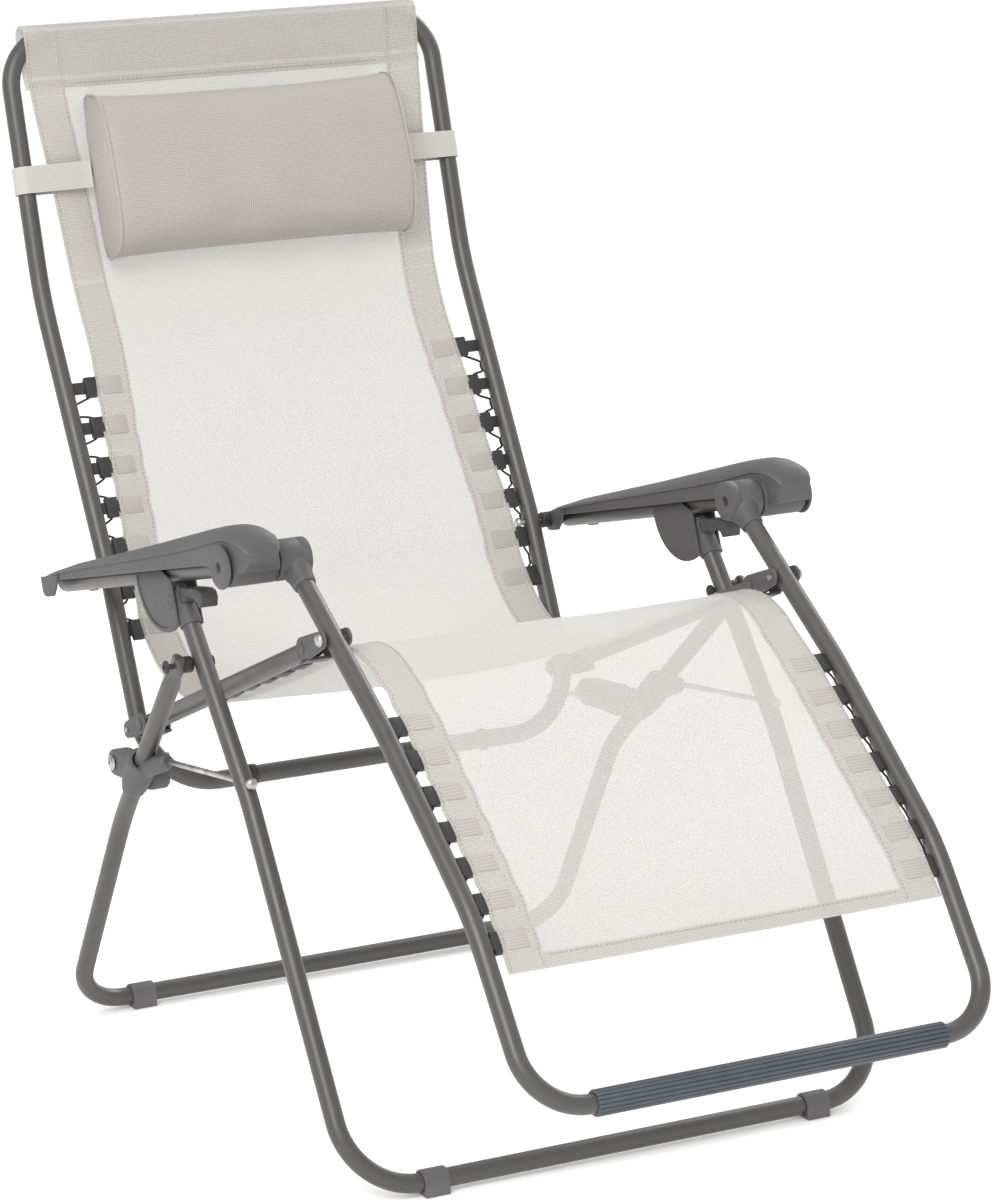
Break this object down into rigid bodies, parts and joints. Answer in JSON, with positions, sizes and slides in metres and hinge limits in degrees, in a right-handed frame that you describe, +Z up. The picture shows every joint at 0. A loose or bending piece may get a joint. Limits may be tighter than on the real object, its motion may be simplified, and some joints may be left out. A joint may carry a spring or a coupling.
{
  "type": "folding recliner chair",
  "caption": "Folding zero gravity recliner with a tubular steel frame, laced mesh sling, moulded armrests, rising leg-rest and a strapped headrest pillow.",
  "frame": {"origin": "on the floor, on the centre plane, under the middle of the chair as seen from above", "axes": "+Z up, the sitter faces -Y, +X to the sitter's left"},
  "size_m": [0.71, 1.2042, 1.078],
  "materials": {
    "frame": "satin powder coat, warm mid grey",
    "plastic": "fine-grained moulded plastic",
    "dark_plastic": "matt black moulding",
    "steel": "zinc-plated steel",
    "sleeve": "ribbed slate-blue grip",
    "sling": "off-white open mesh",
    "pillow": "beige mesh over foam"
  },
  "bodies": {
    "rear_legs": {"rear_leg_frame": "frame", "rear_floor_clip_left": "plastic", "rear_floor_clip_right": "plastic", "knuckle_left": "plastic", "knuckle_right": "plastic", "back_pivot_bolt_left": "steel", "back_pivot_bolt_right": "steel"},
    "front_legs": {"front_leg_frame": "frame", "front_floor_clip_left": "plastic", "front_floor_clip_right": "plastic", "leg_pivot_bolt_left": "dark_plastic", "leg_pivot_bolt_right": "dark_plastic", "leg_collar_left": "plastic", "leg_collar_right": "plastic"},
    "arm_guides": {"slide_bracket_left": "plastic", "slide_bracket_right": "plastic"},
    "tension_rods": {"tension_rod_left": "steel", "tension_rod_right": "steel"},
    "lever_left": {"lock_lever_left": "dark_plastic"},
    "lever_right": {"lock_lever_right": "dark_plastic"},
    "back": {"back_frame": "frame", "back_sling": "sling", "arm_pivot_bolt_left": "steel", "arm_pivot_bolt_right": "steel", "rail_pivot_bolt_left": "steel", "rail_pivot_bolt_right": "steel"},
    "headrest": {"headrest_pillow": "pillow", "headrest_strap_left": "sling", "headrest_strap_right": "sling"},
    "arms": {"armrest_left": "plastic", "armrest_right": "plastic", "arm_tube_left": "frame", "arm_tube_right": "frame", "hub_disc_left": "plastic", "hub_disc_right": "plastic", "arm_clip_left": "dark_plastic", "arm_clip_right": "dark_plastic"},
    "seat": {"seat_rail_left": "frame", "seat_rail_right": "frame", "rear_rail_fork_left": "plastic", "rear_rail_fork_right": "plastic", "front_rail_fork_left": "plastic", "front_rail_fork_right": "plastic", "seat_sling": "sling", "knee_pin_left": "steel", "knee_pin_right": "steel"},
    "leg_rest": {"leg_rest_frame": "frame", "foot_sleeve": "sleeve", "leg_rest_hub_left": "plastic", "leg_rest_hub_right": "plastic", "leg_sling": "sling"}
  },
  "joints": [
    {"name": "fold", "type": "hinge", "parent": "rear_legs", "child": "front_legs", "pos_m": [0, 0.0183, 0.487], "axis": [1, 0, 0], "range_deg": [0, 38]},
    {"name": "guide_turn", "type": "hinge", "parent": "front_legs", "child": "arm_guides", "pos_m": [0, 0.0557, 0.54535], "axis": [-1, 0, 0], "range_deg": [0, 39]},
    {"name": "rod_slide", "type": "slide", "parent": "front_legs", "child": "tension_rods", "axis": [0, -0.993, 0.1183], "range_m": [0, 0.095]},
    {"name": "lever_left_turn", "type": "hinge", "parent": "front_legs", "child": "lever_left", "pos_m": [0, 0.0333, 0.557], "axis": [-1, 0, 0], "range_deg": [-30, 0]},
    {"name": "lever_right_turn", "type": "hinge", "parent": "front_legs", "child": "lever_right", "pos_m": [0, 0.0333, 0.557], "axis": [-1, 0, 0], "range_deg": [-30, 0]},
    {"name": "recline", "type": "hinge", "parent": "rear_legs", "child": "back", "pos_m": [0, 0.2653, 0.32], "axis": [-1, 0, 0], "range_deg": [0, 22]},
    {"name": "headrest_slide", "type": "slide", "parent": "back", "child": "headrest", "axis": [0, 0.2861, 0.9582], "range_m": [-0.03, 0.02]},
    {"name": "arm_turn", "type": "hinge", "parent": "back", "child": "arms", "pos_m": [0, 0.3493, 0.505], "axis": [-1, 0, 0], "range_deg": [-19, 0]},
    {"name": "rail_turn", "type": "hinge", "parent": "back", "child": "seat", "pos_m": [0, 0.2793, 0.35], "axis": [-1, 0, 0], "range_deg": [-14, 0]},
    {"name": "knee_turn", "type": "hinge", "parent": "seat", "child": "leg_rest", "pos_m": [0, -0.1887, 0.551], "axis": [-1, 0, 0], "range_deg": [0, 32]}
  ],
  "couplings": [
    {"joint": "rod_slide", "follows": "fold", "m_per_rad": 0.1375},
    {"joint": "guide_turn", "follows": "fold", "ratio": 1},
    {"joint": "arm_turn", "follows": "recline", "ratio": -0.7773},
    {"joint": "rail_turn", "follows": "recline", "ratio": -0.5682},
    {"joint": "knee_turn", "follows": "recline", "ratio": 1.4091}
  ]
}
